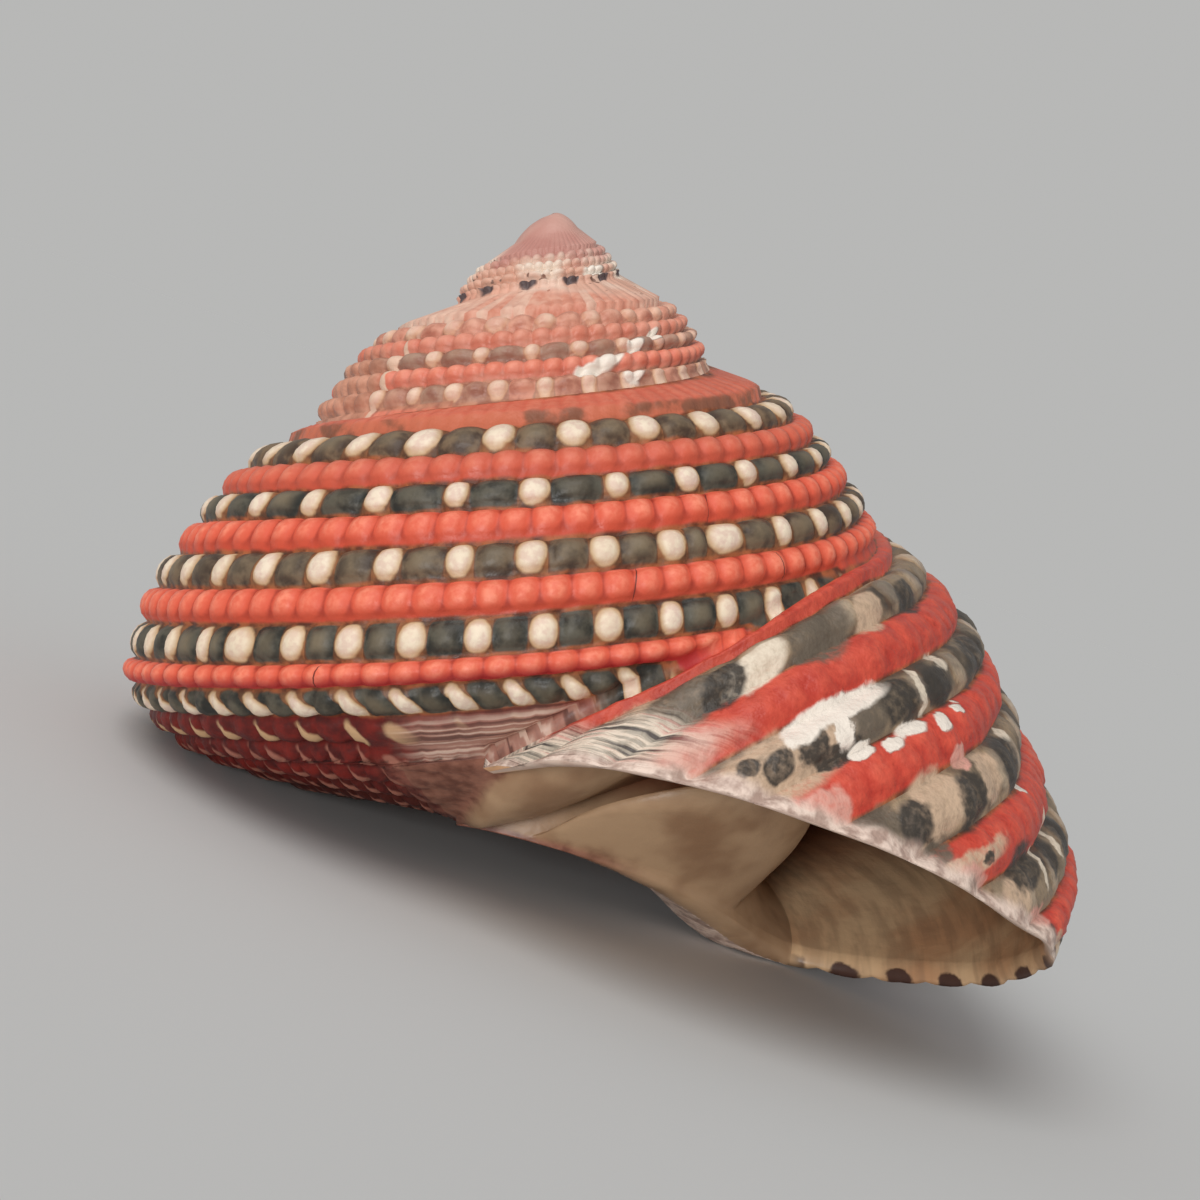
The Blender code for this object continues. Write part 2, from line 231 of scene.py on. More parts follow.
@functools.lru_cache(None)
def column_of(column):
    """Points, outward directions, cords, angles and distances from the axis of one column."""
    cords = column_cords(column)
    angles = column_angles(column)
    radius, drop, out_r, out_h = wall(cords, angles)
    if column >= TIP_COLUMN + TURN:
        seam = section(np.array([covered(column - TURN)]), np.array([column * STEP - 360.0]))
        radius[0] = seam[0][0]
        drop[0] = seam[1][0]
        angles[0] = column * STEP
    return place(radius, drop, angles), place(out_r, out_h, angles), cords, angles, radius


class Skin:
    """Points and faces of the shell. Each corner of a face keeps its own cord, angle and depth."""

    def __init__(self):
        self.points = []
        self.outward = []
        self.faces = []
        self.traits = []
        self.named = {}

    def point(self, name, place_at, outward):
        """Number of a point, made the first time that its name is asked for."""
        if name not in self.named:
            self.named[name] = len(self.points)
            self.points.append(tuple(place_at))
            self.outward.append(tuple(outward))
        return self.named[name]

    def face(self, corners):
        """A face, without the corners that have closed up."""
        kept = [corner for i, corner in enumerate(corners) if corner[0] != corners[i - 1][0]]
        if len({corner[0] for corner in kept}) > 2:
            self.faces.append([corner[0] for corner in kept])
            self.traits.append([corner[1:] for corner in kept])


skin = Skin()
UP = (0.0, 0.0, 1.0)
DOWN = (0.0, 0.0, -1.0)


def sewn(column, row):
    """Whether a row of a column has gone under the next whorl."""
    return column < CALLUS_COLUMN and column_of(column)[2][row] >= covered(column) - SEWN_SLACK


def outside(column, row):
    """A corner on the outside of the shell: its point, cord, angle and depth in the mouth."""
    if sewn(column, row):
        return (outside(column + TURN, 0)[0], covered(column), column * STEP, 0.0)
    points, outward, cords, angles, radius = column_of(column)
    if column == CALLUS_COLUMN and row == INSERT_ROW:
        return (outside(LIP_COLUMN, 0)[0], ROWS[row], angles[row], 0.0)
    if radius[row] < TIP_RADIUS:
        number = skin.point("tip", (0.0, 0.0, -TIP_DROP), UP)
    else:
        number = skin.point((column, row), points[row], outward[row])
    return (number, ROWS[row], angles[row], 0.0)


for first, last, stride, rows in BANDS:
    starts = [0] + list(range(1, LAST_ROW, rows))
    for column in range(first, last, stride):
        for row, below in zip(starts, starts[1:] + [LAST_ROW]):
            if sewn(column, row) and sewn(column + stride, row):
                break
            if column < CALLUS_COLUMN and row >= INSERT_ROW:
                break
            ring = [outside(column, row), outside(column + stride, row)]
            if column + stride == BANDS[-1][0] and below - row > 1:
                ring.append(outside(column + stride, row + 1))
            ring.append(outside(column + stride, below))
            if sewn(column, below) and sewn(column + stride, below):
                finer = 1 if column + TURN >= BANDS[1][0] else stride
                ring += [outside(between, below)
                         for between in range(column + stride - finer, column, -finer)]
            ring.append(outside(column, below))
            skin.face(ring)


# The false umbilicus is the shallow funnel in the base. Its margin climbs from the foot of the lip round
# to the callus, and the callus spreads from there over the whorl before.
CLOSING = 140
CLOSING_POWER = 1.60
MARGIN_POWER = 10
CLOSING_END = CALLUS_ANGLE + 360.0
CLOSING_OUTWARD = (-0.2, 0.98)


@functools.lru_cache(None)
def closing_column(column):
    """Points, outward directions and angle of the margin and funnel past the mouth."""
    share = column / CLOSING
    first = MOUTH[MARGIN_ROW]
    cords = ROWS[MARGIN_ROW:]
    start = section(cords, np.full(len(cords), first))
    end = section(cords, np.full(len(cords), CALLUS_ANGLE))
    rise = 1.0 - (1.0 - share) ** CLOSING_POWER
    pull = 1.0 - (1.0 - share) ** MARGIN_POWER
    angle = first + (CLOSING_END - first) * share
    radius = start[0] + (end[0] - start[0]) * pull
    drop = start[1] + (end[1] - start[1]) * rise
    outward = place(*np.outer(CLOSING_OUTWARD, np.ones(len(cords))), angle)
    return place(radius, drop, angle), outward, angle


def closing(column, row):
    """A corner past the mouth, between the foot of the lip and the callus."""
    if column == 0:
        return outside(LIP_COLUMN, row)
    if column == CLOSING:
        return outside(CALLUS_COLUMN, row)
    points, outward, angle = closing_column(column)
    number = skin.point(("closing", column, row), points[row - MARGIN_ROW], outward[row - MARGIN_ROW])
    return (number, ROWS[row], angle, 0.0)


pit = (skin.point("pit", (0.0, 0.0, -PIT_DROP), DOWN), LAST_CORD + 1.0, 0.0, 0.0)
for column in range(CLOSING):
    for row in range(MARGIN_ROW, LAST_ROW):
        skin.face([closing(column, row), closing(column + 1, row),
                   closing(column + 1, row + 1), closing(column, row + 1)])
    skin.face([closing(column, LAST_ROW), closing(column + 1, LAST_ROW), pit])
for column in range(CALLUS_COLUMN, LIP_COLUMN):
    skin.face([outside(column, LAST_ROW), outside(column + 1, LAST_ROW), pit])


# The throat is the smooth inside behind the mouth. The wall thickens inwards from the thin lip. The inner
# lip carries one broad rounded tooth, and a glaze of callus covers the whorl that the mouth is built on.
WALL_LIP = 0.38
WALL_GAIN = 0.48
WALL_FADE = 24.0
RIM = ((0.25, 0.16), (0.8, 0.30))
RING_FIRST = 2.0
RING_LAST = 168.0
RING_COUNT = 27
RING_POWER = 1.7
CALLUS = 0.10
PAD = 0.45
PAD_FULL = 6.0
PAD_ENDS = (16.0, 44.0)
PARIETAL_CORD = 14.4
CORNER_EASE = 0.35
PAD_LEAN = 0.75
FOLD_CORD = 20.0
CALLUS_CORD = 22.0
FOLD_REACH = 2.6
FOLD_LIFT = 2.2
FOLD_PLACE = 0.50
FOLD_WIDTH = 0.26
FOLD_STEEP = 0.35
FOLD_FULLNESS = 0.8
FOLD_TAIL = 0.84
FOLD_STARTS = 1.5
FOLD_FULL = 9.0
FOLD_ENDS = (13.0, 38.0)
FOLD_LEFT = 0.15


def smooth(value, low, high):
    """Soft step from 0 at low to 1 at high."""
    t = np.clip((value - low) / (high - low), 0.0, 1.0)
    return t * t * (3.0 - 2.0 * t)


def inner_ring(back, thickness):
    """Corners of one ring of the throat, in the same order as the mouth's edge."""
    top = LIP_COLUMN * STEP - back
    corner_cord, first_cord = suture(top, thickness, CALLUS)
    corner_cord += CORNER_EASE
    radius, drop, _, _ = wall(corner_cord, top - 360.0, CALLUS)
    corner = (skin.point(("throat", back, 0), place(radius, drop, top), UP), corner_cord, top, back)
    ring = [corner]
    angles = MOUTH[:MARGIN_ROW + 1] - back
    radius, drop, out_r, out_h = wall(ROWS[:MARGIN_ROW + 1], angles, -thickness)
    points = place(radius, drop, angles)
    for row in range(1, MARGIN_ROW + 1):
        if ROWS[row] < first_cord + 2.0 * CORNER_EASE:
            ring.append(corner)
            continue
        ring.append((skin.point(("throat", back, row), points[row], UP), ROWS[row], angles[row], back))
    foot_angle = MOUTH[MARGIN_ROW] - back
    head_angle = CLOSING_END - back
    foot = wall(MARGIN_CORD, foot_angle, -thickness)
    pad = PAD * smooth(back, 0.0, PAD_FULL) * (1.0 - smooth(back, *PAD_ENDS))
    head = wall(PARIETAL_CORD, head_angle - 360.0, CALLUS)
    share = np.arange(1, CLOSING) / CLOSING
    rise = 1.0 - (1.0 - share) ** CLOSING_POWER
    pull = 1.0 - (1.0 - share) ** MARGIN_POWER
    foot_side = np.clip(1.0 - ((FOLD_PLACE - share) / FOLD_WIDTH) ** 2, 0.0, 1.0) ** FOLD_STEEP
    along = np.clip((share - FOLD_PLACE) / (FOLD_TAIL - FOLD_PLACE), 0.0, 1.0)
    head_side = np.maximum(np.cos(0.5 * math.pi * along), 0.0) ** FOLD_FULLNESS
    fold = np.where(share < FOLD_PLACE, foot_side, head_side)
    size = growth(foot_angle)[0] / growth(LIP_COLUMN * STEP)[0]
    swell = smooth(back, FOLD_STARTS, FOLD_FULL) * (1.0 - (1.0 - FOLD_LEFT) * smooth(back, *FOLD_ENDS))
    reach = FOLD_REACH * size * fold * swell
    lift = FOLD_LIFT * size * fold * swell
    angles = foot_angle + (head_angle - foot_angle) * share
    drop = foot[1] + (head[1] - foot[1]) * rise - lift
    points = place(foot[0] + (head[0] - foot[0]) * pull + reach, drop, angles)
    for index in range(CLOSING - 1):
        number = skin.point(("throat", back, "fold", index), points[index], UP)
        ring.append((number, FOLD_CORD + share[index], angles[index], back))
    parietal = MARGIN_ROW - INSERT_ROW
    share = np.arange(parietal) / parietal
    cords = PARIETAL_CORD + (corner_cord - PARIETAL_CORD) * share
    angles = head_angle + (top - head_angle) * share
    radius, drop, _, _ = wall(cords, angles - 360.0, CALLUS + pad * np.sin(math.pi * share ** PAD_LEAN))
    points = place(radius, drop, angles)
    for index in range(parietal):
        number = skin.point(("throat", back, "callus", index), points[index], UP)
        ring.append((number, CALLUS_CORD + share[index], angles[index], back))
    return ring


ring = [outside(LIP_COLUMN, row) for row in range(MARGIN_ROW + 1)]
ring += [closing(column, MARGIN_ROW) for column in range(1, CLOSING)]
ring += [outside(CALLUS_COLUMN, row) for row in range(MARGIN_ROW, INSERT_ROW, -1)]
backs = RING_FIRST + (RING_LAST - RING_FIRST) * (np.arange(RING_COUNT) / (RING_COUNT - 1)) ** RING_POWER
rings = list(RIM)
rings += [(float(back), WALL_LIP + WALL_GAIN * (1.0 - math.exp(-back / WALL_FADE))) for back in backs]
outside_faces = len(skin.faces)
for back, thickness in rings:
    inner = inner_ring(back, thickness)
    for index in range(len(ring)):
        corners = [ring[index - 1], inner[index - 1], inner[index], ring[index]]
        here = inner[index][1] if index else inner[-1][1]
        skin.face([(number, cord if abs(cord - here) < 1.0 else here, angle, depth)
                   for number, cord, angle, depth in corners])
    ring = inner
middle = np.mean([skin.points[corner[0]] for corner in ring], axis=0)
end = (skin.point("throat end", middle, UP), FOLD_CORD, 0.0, RING_LAST)
for index in range(len(ring)):
    skin.face([ring[index - 1], end, ring[index]])


# The beads sit in rows on the cords. Red rows are plain beads, and every other row down to the widest part
# pairs one white bead with one dark one. Rows on the base are smaller, dark red with pale spots.
BEAD_GAIN = 0.19
BEAD_ANGLE = 100.0
BEADS = {
    0: (4.3, 0.0, 1.0), 1: (14.5, 98.7, 0.46), 2: (5.5, 0.0, 1.0), 3: (12.9, 103.8, 0.37),
    4: (4.8, 0.0, 1.0), 5: (10.2, 101.1, 0.43), 6: (4.25, 0.0, 1.0), 7: (8.5, 106.0, 0.44),
    8: (4.0, 0.0, 1.0), 9: (7.4, 99.6, 0.44), 10: (7.9, 122.8, 0.36), 11: (5.4, 0.0, 0.40),
    12: (6.4, 3.0, 0.36), 13: (5.0, 1.0, 0.40), 14: (6.6, 2.0, 0.36), 15: (4.6, 0.0, 0.50),
}
SHARE_SPREAD = 0.10
DOUBLE_CHANCE = 0.05
DOUBLE_SHARE = 0.68
BEAD_SEED = 7
DRAWS = 400
FIRST_BEADS = (-900.0, -480.0)
LAST_COVERED = 97.0
COVERED_SPANS = np.arange(-1620.0, LAST_COVERED + 1.0, 6.0)
SUTURE_CORDS = 0.40
SUTURE_TOP = 0.12
GLAZE_STARTS = (54.0, 66.0)
GLAZE_END = 115.0
GLAZE_CORDS = (9.1, 9.9)
GLAZE_LEFT = 0.25
FUNNEL_CORD = 17.0
FUNNEL_FADE = 1.5
LIP_LEFT = 0.35
LIP_DEGREES = 2.5
LATE = (335.0, 385.0)
LATE_BEADS_LEFT = 0.45
LATE_LUMPS = 2.2
SHELF_CORD = 0.55
SHELF_EDGE = 0.1
SHELF_LEFT = 0.3


def bead_place(cord, angle):
    """Bead coordinate along a cord, one for each bead or pair, and the white bead's share of its pair."""
    index = np.clip(np.floor(cord + 0.5).astype(int), 0, MARGIN_CORD)
    pitch, white, share = np.array(list(BEADS.values()))[index].T
    rate = BEAD_GAIN / 360.0
    turned = np.exp(rate * (angle - BEAD_ANGLE)) - np.exp(rate * (white - BEAD_ANGLE))
    bead = turned / (rate * pitch) + share / 2.0
    chance = np.random.default_rng(BEAD_SEED).random((MARGIN_CORD + 1, DRAWS))
    drawn = chance[index, np.floor(bead).astype(int) % DRAWS]
    varied = np.where(drawn < DOUBLE_CHANCE, DOUBLE_SHARE, share + SHARE_SPREAD * (drawn - 0.5))
    return bead, np.where(share < 1.0, varied, 1.0)


# Each corner of a face carries its own cord and angle, so that no colour runs across a suture. Each point
# carries how far the beads and lumps stand out there.
mesh = bpy.data.meshes.new("top shell")
own = np.array(skin.points)
stood = own @ np.array(STANCE.transposed()) + np.array(POLE)
stood[:, 2] = np.maximum(stood[:, 2], 0.0)
mesh.from_pydata((stood * MM).tolist(), [], skin.faces)
traits = np.array([trait for face in skin.traits for trait in face])
sizes = np.array([len(face) for face in skin.faces])
face_of = np.repeat(np.arange(len(sizes)), sizes)
face_cord = np.bincount(face_of, traits[:, 0]) / sizes
bead, share = bead_place(face_cord[face_of], traits[:, 1])
beads_map = mesh.uv_layers.new(name="beads")
beads_map.data.foreach_set("uv", np.stack([bead, traits[:, 0]], axis=-1).ravel())
numbers = np.array([number for face in skin.faces for number in face])
corner_values = {
    "growth": traits[:, 1] / 360.0,
    "white share": share,
    "depth": traits[:, 2],
    "to lip": np.interp(traits[:, 0], ROWS, MOUTH) - traits[:, 1],
    "below tip": -own[numbers, 2] - TIP_DROP,
}
for name, values in corner_values.items():
    mesh.attributes.new(name, "FLOAT", "CORNER").data.foreach_set("value", values.astype(np.float32))
first_corner = np.full(len(skin.points), -1)
first_corner[numbers[::-1]] = np.arange(len(numbers))[::-1]
point_cord = traits[first_corner, 0]
point_angle = traits[first_corner, 1]
point_bead, point_share = bead_place(point_cord, point_angle)
outer_point = np.zeros(len(skin.points), bool)
outer_point[numbers[face_of < outside_faces]] = True


def left(value, share):
    """What is left of a relief, from all of it at 0 down to a share of it at 1."""
    return 1.0 - (1.0 - share) * value


next_suture = [suture(angle + 360.0)[0] for angle in COVERED_SPANS]
next_suture = np.interp(point_angle, COVERED_SPANS, next_suture)
to_suture = np.where(point_angle < LAST_COVERED, next_suture - point_cord, float(LAST_CORD))
at_suture = 1.0 - smooth(to_suture, 0.0, SUTURE_CORDS) * smooth(point_cord, 0.0, SUTURE_TOP)
to_lip = np.interp(point_cord, ROWS, MOUTH) - point_angle
grown = smooth(point_angle, *FIRST_BEADS) * outer_point
glazed = smooth(point_angle, *GLAZE_STARTS) * smooth(GLAZE_END - point_angle, 0.0, 1.0)
glazed = glazed * smooth(point_cord, *GLAZE_CORDS)
relief = grown * smooth(FUNNEL_CORD - point_cord, 0.0, FUNNEL_FADE)
relief = relief * left(1.0 - smooth(to_lip, 0.0, LIP_DEGREES), LIP_LEFT) * left(glazed, GLAZE_LEFT)
late = smooth(point_angle, *LATE)
shelf = smooth(SHELF_CORD - point_cord, 0.0, SHELF_EDGE)
point_values = {
    "cord": point_cord, "bead": point_bead, "bead share": point_share, "relief": relief,
    "bead relief": left(late, LATE_BEADS_LEFT) * left(shelf, SHELF_LEFT),
    "lump relief": 1.0 + LATE_LUMPS * late, "suture": at_suture * grown,
}
for name, values in point_values.items():
    mesh.attributes.new(name, "FLOAT", "POINT").data.foreach_set("value", values.astype(np.float32))
outward = np.array(skin.outward) @ np.array(STANCE.transposed())
mesh.attributes.new("outward", "FLOAT_VECTOR", "POINT").data.foreach_set("vector", outward.ravel())
mesh.attributes.new("throat", "BOOLEAN", "FACE").data.foreach_set(
    "value", np.arange(len(skin.faces)) >= outside_faces)

work = bmesh.new()
work.from_mesh(mesh)
bmesh.ops.recalc_face_normals(work, faces=work.faces[:])
work.to_mesh(mesh)
work.free()
mesh.shade_smooth()
shell = bpy.data.objects.new("top_shell", mesh)
bpy.context.scene.collection.objects.link(shell)


def join(tree, node, sockets):
    """Joins a node's inputs to other sockets, or sets them to values."""
    for key, value in sockets.items():
        if isinstance(value, bpy.types.NodeSocket):
            tree.links.new(value, node.inputs[key])
        else:
            node.inputs[key].default_value = value


def wire(tree, kind, sockets=None, **settings):
    """A node of one kind, with its settings made and its inputs joined or set."""
    node = tree.nodes.new(kind)
    for name, value in settings.items():
        setattr(node, name, value)
    join(tree, node, sockets or {})
    return node


def sum_of(tree, operation, first, second=0.0, third=0.0):
    """One step of arithmetic, in a shader or in geometry nodes."""
    values = {0: first, 1: second, 2: third}
    return wire(tree, "ShaderNodeMath", values, operation=operation).outputs[0]


def plus(tree, first, second):
    """One value added to another."""
    return sum_of(tree, "ADD", first, second)


def minus(tree, first, second):
    """One value less another."""
    return sum_of(tree, "SUBTRACT", first, second)


def times(tree, first, second):
    """One value times another."""
    return sum_of(tree, "MULTIPLY", first, second)


CREST_FULLNESS = 1.88
BEAD_FULLNESS = 1.82
LUMP_LEVEL = 0.62
CARVING_INPUTS = (
    ("Geometry", "Geometry"), ("Cord Height", "Float"), ("Bead Height", "Float"), ("Lump Height", "Float"),
    ("Lumps a Metre", "Float"), ("Suture Depth", "Float"), ("Outside", "Material"), ("Inside", "Material"))


def beading(tree):
    """Carves cords and beads into a smooth wall, along each point's outward direction."""
    interface = tree.interface
    for name, kind in CARVING_INPUTS:
        interface.new_socket(name, in_out="INPUT", socket_type="NodeSocket" + kind)
    interface.new_socket("Geometry", in_out="OUTPUT", socket_type="NodeSocketGeometry")
    given = tree.nodes.new("NodeGroupInput").outputs

    def read(name, kind="FLOAT"):
        node = wire(tree, "GeometryNodeInputNamedAttribute", {"Name": name}, data_type=kind)
        return node.outputs["Attribute"]

    def choose(test, otherwise, chosen):
        return wire(tree, "GeometryNodeSwitch", {"Switch": test, "False": otherwise, "True": chosen},
                    input_type="FLOAT").outputs[0]

    def dome(across, fullness):
        wide = times(tree, across, fullness)
        square = times(tree, wide, wide)
        return minus(tree, sum_of(tree, "SQRT", minus(tree, 1.0, square)), 1.0)

    cord = read("cord")
    across = minus(tree, sum_of(tree, "FRACT", plus(tree, cord, 0.5)), 0.5)
    top_across = times(tree, minus(tree, cord, 0.25), 2.0)
    at_top = sum_of(tree, "LESS_THAN", cord, 0.5)
    across = choose(at_top, across, top_across)
    crest = dome(across, CREST_FULLNESS)
    along = sum_of(tree, "FRACT", read("bead"))
    share = read("bead share")
    in_white = sum_of(tree, "LESS_THAN", along, share)
    white = sum_of(tree, "DIVIDE", along, share)
    dark = sum_of(tree, "DIVIDE", minus(tree, along, share),
                  sum_of(tree, "MAXIMUM", minus(tree, 1.0, share), 0.01))
    bead = dome(minus(tree, choose(in_white, dark, white), 0.5), BEAD_FULLNESS)
    bead = times(tree, bead, read("bead relief"))
    standing = plus(tree, crest, 1.0)
    height = times(tree, crest, given["Cord Height"])
    height = sum_of(tree, "MULTIPLY_ADD", times(tree, bead, standing), given["Bead Height"], height)
    noise = wire(tree, "ShaderNodeTexNoise", {"Scale": given["Lumps a Metre"], "Detail": 3.0}).outputs[0]
    lumps = times(tree, minus(tree, noise, LUMP_LEVEL), given["Lump Height"])
    height = sum_of(tree, "MULTIPLY_ADD", lumps, read("lump relief"), height)
    height = times(tree, height, read("relief"))
    sunk = read("suture")
    height = times(tree, height, minus(tree, 1.0, sunk))
    height = minus(tree, height, times(tree, sunk, given["Suture Depth"]))
    outward = read("outward", "FLOAT_VECTOR")
    offset = wire(tree, "ShaderNodeVectorMath", {0: outward, 3: height}, operation="SCALE")
    moved = wire(tree, "GeometryNodeSetPosition", {
        "Geometry": given["Geometry"], "Offset": offset.outputs[0]})
    real = wire(tree, "GeometryNodeRealizeInstances", {"Geometry": moved.outputs[0]})
    outer = wire(tree, "GeometryNodeSetMaterial", {
        "Geometry": real.outputs[0], "Material": given["Outside"]})
    inner = wire(tree, "GeometryNodeSetMaterial", {
        "Geometry": outer.outputs[0], "Selection": read("throat", "BOOLEAN"), "Material": given["Inside"]})
    wire(tree, "NodeGroupOutput", {"Geometry": inner.outputs[0]})


# Most colours lie in the shell itself. Red cords are coral beads on coral, pied cords pair a cream bead with
# a squarish charcoal one, and the grooves are ochre. Beads and grooves also carry painted shade. The worn
# spire is bleached to a dusty pink.
def paint(red, green, blue):
    """Linear colour from the 0 to 255 values that a picture shows."""
    return tuple(((value / 255.0 + 0.055) / 1.055) ** 2.4 for value in (red, green, blue)) + (1.0,)


def blend(tree, factor, under, over):
    """Colour that goes from one to the other as the factor goes from 0 to 1."""
    return wire(tree, "ShaderNodeMix", {0: factor, 6: under, 7: over}, data_type="RGBA").outputs[2]


def mottled(tree, noise, low, high, under, over):
    """Two colours, given by the values that a picture shows, in patches that follow a noise."""
    return blend(tree, step_up(tree, noise, low, high), paint(*under), paint(*over))


def step_up(tree, value, low, high, to_low=0.0, to_high=1.0):
    """Soft step of a value between two limits."""
    sockets = {"Value": value, "From Min": low, "From Max": high, "To Min": to_low, "To Max": to_high}
    return wire(tree, "ShaderNodeMapRange", sockets, interpolation_type="SMOOTHSTEP").outputs[0]


def speckle(tree, scale, detail=3.0, rough=0.55):
    """Noise fixed to the object, from 0 to 1."""
    coordinates = wire(tree, "ShaderNodeTexCoord").outputs["Object"]
    return wire(tree, "ShaderNodeTexNoise", {
        "Vector": coordinates, "Scale": scale, "Detail": detail, "Roughness": rough}).outputs[0]


def streaks(tree, first, second, scale, detail=3.0):
    """Noise drawn out along the surface, read at two of the values that the mesh carries."""
    at = wire(tree, "ShaderNodeCombineXYZ", {0: first, 1: second}).outputs[0]
    return wire(tree, "ShaderNodeTexNoise", {"Vector": at, "Scale": scale, "Detail": detail}).outputs[0]


def trait(tree, name):
    """A value that the mesh carries."""
    return wire(tree, "ShaderNodeAttribute", attribute_name=name).outputs["Fac"]


def wobble(tree, value, noise, size):
    """A value moved to and fro by a noise."""
    return plus(tree, value, times(tree, minus(tree, noise, 0.5), size))


def rounded(tree, first, second, power):
    """Distance from a bead's middle: 1 at the edge of a rounded square."""
    one = sum_of(tree, "POWER", sum_of(tree, "ABSOLUTE", first), power)
    two = sum_of(tree, "POWER", sum_of(tree, "ABSOLUTE", second), power)
    return sum_of(tree, "POWER", plus(tree, one, two), 1.0 / power)


def on_beads_map(tree):
    """Where a spot is along the beads of its cord, and the cord that it is on."""
    spot = wire(tree, "ShaderNodeUVMap", uv_map="beads").outputs[0]
    split = wire(tree, "ShaderNodeSeparateXYZ", {0: spot})
    return split.outputs[0], split.outputs[1]


def is_row(tree, number, row):
    """1 on one row of beads."""
    return sum_of(tree, "COMPARE", number, float(row), 0.5)


patch_tree = bpy.data.node_groups.new("patch on the whorl", "ShaderNodeTree")
for name in ("Degrees", "Cord", "At Degrees", "At Cord", "Half Degrees", "Half Cords", "Lean"):
    patch_tree.interface.new_socket(name, in_out="INPUT", socket_type="NodeSocketFloat")
patch_tree.interface.new_socket("Mask", in_out="OUTPUT", socket_type="NodeSocketFloat")
given = patch_tree.nodes.new("NodeGroupInput").outputs
cords_off = minus(patch_tree, given["Cord"], given["At Cord"])
degrees_off = minus(patch_tree, given["Degrees"], given["At Degrees"])
degrees_off = minus(patch_tree, degrees_off, times(patch_tree, given["Lean"], cords_off))
across = sum_of(patch_tree, "DIVIDE", degrees_off, given["Half Degrees"])
down = sum_of(patch_tree, "DIVIDE", cords_off, given["Half Cords"])
wire(patch_tree, "NodeGroupOutput", {
    "Mask": step_up(patch_tree, rounded(patch_tree, across, down, 2.3), 1.22, 0.86)})


def patch(tree, degrees, cord, at_degrees, at_cord, half_degrees, half_cords, lean=0.0):
    """Mask of one patch of the whorl, from its middle and half sizes in degrees and cords."""
    return wire(tree, "ShaderNodeGroup", {
        "Degrees": degrees, "Cord": cord, "At Degrees": at_degrees, "At Cord": at_cord,
        "Half Degrees": half_degrees, "Half Cords": half_cords, "Lean": lean},
        node_tree=patch_tree).outputs[0]


def new_finish(name):
    """A material, with its node tree and its shader."""
    finish = bpy.data.materials.new(name)
    finish.use_nodes = True
    return finish, finish.node_tree, finish.node_tree.nodes["Principled BSDF"]


WANDER = 750.0
RAGGED = 2600.0
GRAIN = 6000.0
CORD_WANDER = 0.16
BASE_SLANT = 0.2
LATE_WHORL = (345.0, 385.0)
EARLY_WHORLS = (-165.0, -205.0)
outer_finish, tree, principled = new_finish("beaded outside")
wander = speckle(tree, WANDER, 2.0)
ragged = speckle(tree, RAGGED)
grain = speckle(tree, GRAIN, 2.0)
bead_at, true_cord = on_beads_map(tree)
cord = wobble(tree, true_cord, wander, CORD_WANDER)
number = sum_of(tree, "FLOOR", plus(tree, true_cord, 0.5))
across = times(tree, minus(tree, cord, number), 2.0)
top_across = times(tree, minus(tree, cord, 0.25), 4.0)
at_top = sum_of(tree, "LESS_THAN", true_cord, 0.5)
across = wire(tree, "ShaderNodeMix", {0: at_top, 2: across, 3: top_across}).outputs[0]
slant = times(tree, step_up(tree, number, 8.4, 8.6), BASE_SLANT)
along = sum_of(tree, "FRACT", plus(tree, bead_at, times(tree, slant, across)))
share = trait(tree, "white share")
degrees = times(tree, trait(tree, "growth"), 360.0)
to_edge = trait(tree, "to lip")
below_tip = trait(tree, "below tip")
pale = sum_of(tree, "LESS_THAN", along, share)
in_white = minus(tree, times(tree, sum_of(tree, "DIVIDE", along, share), 2.0), 1.0)
rest = sum_of(tree, "MAXIMUM", minus(tree, 1.0, share), 0.01)
in_dark = sum_of(tree, "DIVIDE", minus(tree, along, share), rest)
in_dark = minus(tree, times(tree, in_dark, 2.0), 1.0)
late = step_up(tree, degrees, *LATE_WHORL)
early = step_up(tree, degrees, *EARLY_WHORLS)
which = wire(tree, "ShaderNodeCombineXYZ", {
    0: sum_of(tree, "FLOOR", bead_at), 1: plus(tree, number, times(tree, pale, 0.5))})
each = wire(tree, "ShaderNodeTexWhiteNoise", {"Vector": which.outputs[0]}).outputs["Value"]

brownish = sum_of(tree, "MAXIMUM", is_row(tree, number, 1), times(tree, is_row(tree, number, 5), 0.75))
dark_edge = wobble(tree, rounded(tree, in_dark, across, 4.5), ragged, 0.30)
charcoal = mottled(tree, ragged, 0.35, 0.65, (40, 40, 35), (86, 82, 70))
umber = mottled(tree, ragged, 0.35, 0.65, (70, 52, 40), (122, 100, 76))
charcoal = blend(tree, brownish, charcoal, umber)
charcoal = blend(tree, times(tree, step_up(tree, dark_edge, 0.85, 0.15), times(tree, each, 0.7)),
                 charcoal, paint(134, 118, 94))
russet = mottled(tree, ragged, 0.35, 0.65, (136, 62, 46), (206, 124, 98))
reddened = sum_of(tree, "MAXIMUM", is_row(tree, number, 1), times(tree, is_row(tree, number, 5), each))
charcoal = blend(tree, times(tree, early, reddened), charcoal, russet)
# Brown ground round each dark bead: the shell's own brown, painted darker as shade in the gaps.
dark_row = blend(tree, step_up(tree, dark_edge, 0.92, 1.06), charcoal,
                 blend(tree, ragged, paint(70, 42, 26), paint(120, 74, 46)))
white_edge = wobble(tree, rounded(tree, in_white, across, 2.2), ragged, 0.30)
ivory = mottled(tree, grain, 0.35, 0.65, (228, 200, 182), (242, 224, 200))
ivory = blend(tree, times(tree, each, 0.35), ivory, paint(222, 200, 164))
# Painted shade: each cream bead darkens to tan towards its rim.
ivory = blend(tree, step_up(tree, white_edge, 0.50, 0.96), ivory, paint(196, 160, 118))
# Brown ground in the gaps past each cream bead: the shell's own brown, painted darker as shade.
white_row = blend(tree, step_up(tree, white_edge, 0.84, 1.00), ivory,
                  mottled(tree, ragged, 0.3, 0.7, (74, 50, 34), (150, 98, 60)))
pied = blend(tree, pale, dark_row, white_row)

